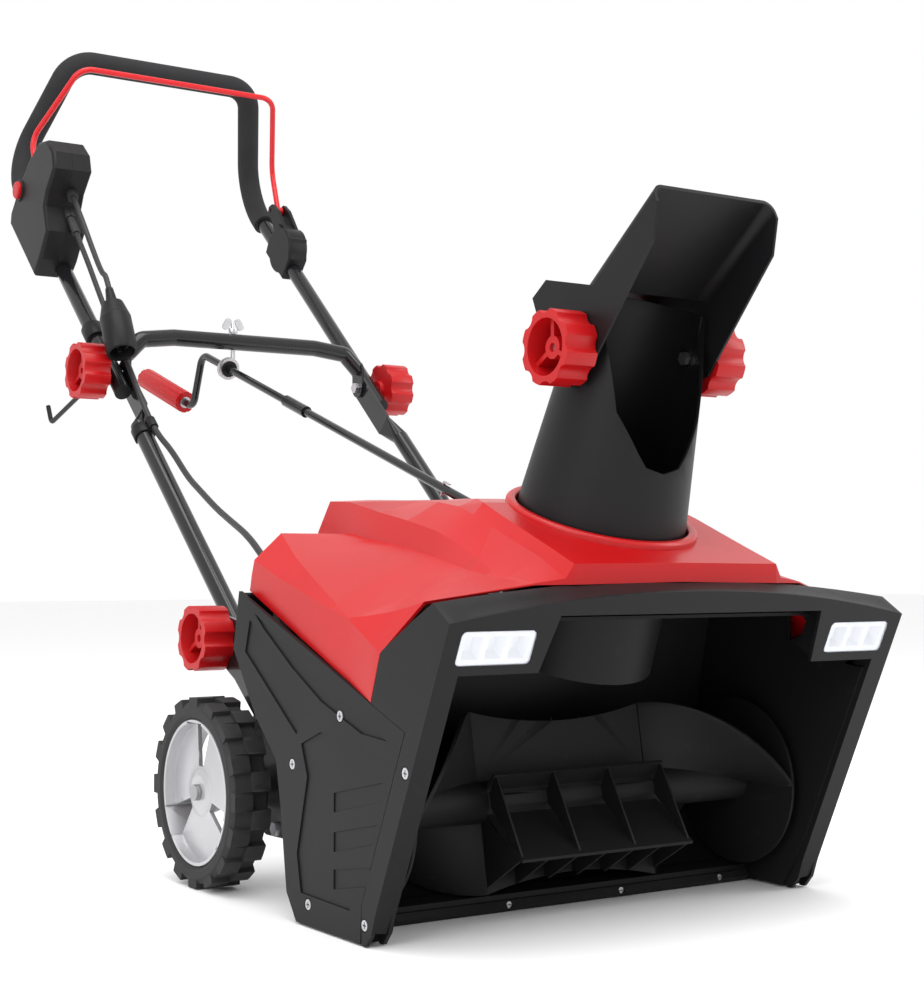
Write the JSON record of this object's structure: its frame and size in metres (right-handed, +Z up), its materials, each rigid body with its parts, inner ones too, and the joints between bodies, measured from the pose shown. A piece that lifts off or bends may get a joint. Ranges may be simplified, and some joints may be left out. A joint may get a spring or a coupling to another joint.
{
  "type": "snow thrower",
  "caption": "Corded walk-behind snow thrower with a paddle auger, turning discharge chute with tilting deflector, crank, folding handle and bail switch.",
  "frame": {"origin": "middle of the scraper bar's underside, on the ground", "axes": "+Z up, -Y the way the intake faces, +X to the right side of the intake as seen from behind it, across the machine"},
  "size_m": [0.552, 1.3153, 1.083],
  "materials": {
    "black_plastic": "matte",
    "dark_plastic": "satin",
    "red_plastic": "gloss",
    "red_knob": "satin",
    "red_coating": "satin",
    "white_plastic": "gloss",
    "clear_cover": "gloss",
    "black_paint": "gloss",
    "foam": "matte",
    "rubber": "matte",
    "tyre_rubber": "matte",
    "silver_paint": "satin",
    "zinc": "satin",
    "steel": "satin",
    "motor_case": "satin",
    "cord_sheath": "satin"
  },
  "bodies": {
    "chassis": {"auger_housing": "black_plastic", "front_bezel": "black_plastic", "left_side_cover": "black_plastic", "right_side_cover": "black_plastic", "top_hood": "red_plastic", "rear_pan": "black_plastic", "scraper_bar": "dark_plastic", "lamp_reflectors": "white_plastic", "lamp_lenses": "clear_cover", "frame_arms": "black_paint", "wheel_axle": "steel", "lower_tubes": "black_paint", "crossbar": "black_paint", "drive_motor": "motor_case", "body_screws": "zinc", "handle_bolts": "zinc", "auger_bearings": "dark_plastic", "eyebolt": "zinc", "rod_grommet": "dark_plastic", "cable_clip": "dark_plastic", "drive_belt": "rubber", "motor_cable_lower": "cord_sheath"},
    "auger": {"auger_shaft": "steel", "auger_paddle": "dark_plastic", "left_auger_flight": "dark_plastic", "right_auger_flight": "dark_plastic", "auger_pulley": "dark_plastic"},
    "motor_drive": {"motor_pulley": "motor_case"},
    "left_wheel": {"left_tyre": "tyre_rubber", "left_rim": "silver_paint"},
    "right_wheel": {"right_tyre": "tyre_rubber", "right_rim": "silver_paint"},
    "chute": {"chute_tube": "black_plastic", "deflector_bolts": "zinc"},
    "deflector": {"chute_deflector": "black_plastic"},
    "left_deflector_nut": {"left_deflector_knob": "red_knob"},
    "right_deflector_nut": {"right_deflector_knob": "red_knob"},
    "crank": {"crank_rod": "black_paint", "crank_lower_rod": "black_paint", "crank_pinion": "dark_plastic", "crank_fasteners": "zinc"},
    "crank_sleeve": {"crank_grip": "red_knob"},
    "handle": {"upper_handle_tube": "black_paint", "foam_grip": "foam", "switch_box_outer": "black_plastic", "switch_box_inner": "black_plastic", "switch_block": "dark_plastic", "bail_bracket": "black_plastic", "tube_end_plugs": "black_plastic", "motor_cable_upper": "cord_sheath", "plug_cord": "cord_sheath", "mains_plug": "dark_plastic", "cord_hook": "dark_plastic", "cord_glands": "rubber"},
    "bail": {"bail_wire": "red_coating"},
    "lockout": {"lockout_button": "red_knob"},
    "left_upper_nut": {"left_upper_knob": "red_knob"},
    "right_upper_nut": {"right_upper_knob": "red_knob"},
    "left_lower_nut": {"left_lower_knob": "red_knob"},
    "right_lower_nut": {"right_lower_knob": "red_knob"}
  },
  "joints": [
    {"name": "auger_spin", "type": "hinge", "parent": "chassis", "child": "auger", "pos_m": [0, -0.002, 0.108], "axis": [1, 0, 0], "continuous": true},
    {"name": "motor_spin", "type": "hinge", "parent": "chassis", "child": "motor_drive", "pos_m": [-0.257, 0.128, 0.268], "axis": [1, 0, 0], "continuous": true},
    {"name": "left_wheel_spin", "type": "hinge", "parent": "chassis", "child": "left_wheel", "pos_m": [-0.2545, 0.28, 0.0997], "axis": [1, 0, 0], "continuous": true},
    {"name": "right_wheel_spin", "type": "hinge", "parent": "chassis", "child": "right_wheel", "pos_m": [0.2545, 0.28, 0.0997], "axis": [1, 0, 0], "continuous": true},
    {"name": "chute_turn", "type": "hinge", "parent": "chassis", "child": "chute", "pos_m": [0, -0.0655, 0.3915], "axis": [0, -0.3338, 0.9426], "range_deg": [-95, 95]},
    {"name": "deflector_tilt", "type": "hinge", "parent": "chute", "child": "deflector", "pos_m": [0, -0.11824, 0.54044], "axis": [1, 0, 0], "range_deg": [-5, 35]},
    {"name": "left_deflector_knob_turn", "type": "hinge", "parent": "chute", "child": "left_deflector_nut", "pos_m": [-0.089, -0.11824, 0.54044], "axis": [1, 0, 0], "continuous": true},
    {"name": "right_deflector_knob_turn", "type": "hinge", "parent": "chute", "child": "right_deflector_nut", "pos_m": [0.089, -0.11824, 0.54044], "axis": [1, 0, 0], "continuous": true},
    {"name": "crank_turn", "type": "hinge", "parent": "chassis", "child": "crank", "pos_m": [-0.00934, 0.23749, 0.43417], "axis": [-0.0311, 0.9421, 0.3339], "range_deg": [-712.5, 712.5]},
    {"name": "crank_grip_spin", "type": "hinge", "parent": "crank", "child": "crank_sleeve", "pos_m": [-0.02747, 0.81479, 0.55751], "axis": [-0.0311, 0.9421, 0.3339], "continuous": true},
    {"name": "handle_fold", "type": "hinge", "parent": "chassis", "child": "handle", "pos_m": [0, 0.705, 0.586], "axis": [1, 0, 0], "range_deg": [0, 100], "deforming": ["motor_cable_upper", "motor_cable_lower"]},
    {"name": "bail_squeeze", "type": "hinge", "parent": "handle", "child": "bail", "pos_m": [0, 0.98495, 0.8848], "axis": [1, 0, 0], "range_deg": [-15, 0], "stiffness_Nm_per_rad": 1},
    {"name": "lockout_press", "type": "slide", "parent": "handle", "child": "lockout", "axis": [1, 0, 0], "range_m": [0, 0.004], "stiffness_N_per_m": 600},
    {"name": "left_upper_knob_turn", "type": "hinge", "parent": "chassis", "child": "left_upper_nut", "pos_m": [-0.223, 0.705, 0.586], "axis": [1, 0, 0], "continuous": true},
    {"name": "right_upper_knob_turn", "type": "hinge", "parent": "chassis", "child": "right_upper_nut", "pos_m": [0.223, 0.705, 0.586], "axis": [1, 0, 0], "continuous": true},
    {"name": "left_lower_knob_turn", "type": "hinge", "parent": "chassis", "child": "left_lower_nut", "pos_m": [-0.232, 0.334, 0.259], "axis": [1, 0, 0], "continuous": true},
    {"name": "right_lower_knob_turn", "type": "hinge", "parent": "chassis", "child": "right_lower_nut", "pos_m": [0.232, 0.334, 0.259], "axis": [1, 0, 0], "continuous": true}
  ],
  "couplings": [
    {"joint": "motor_spin", "follows": "auger_spin", "ratio": 3.0588},
    {"joint": "crank_turn", "follows": "chute_turn", "ratio": -7.5}
  ]
}
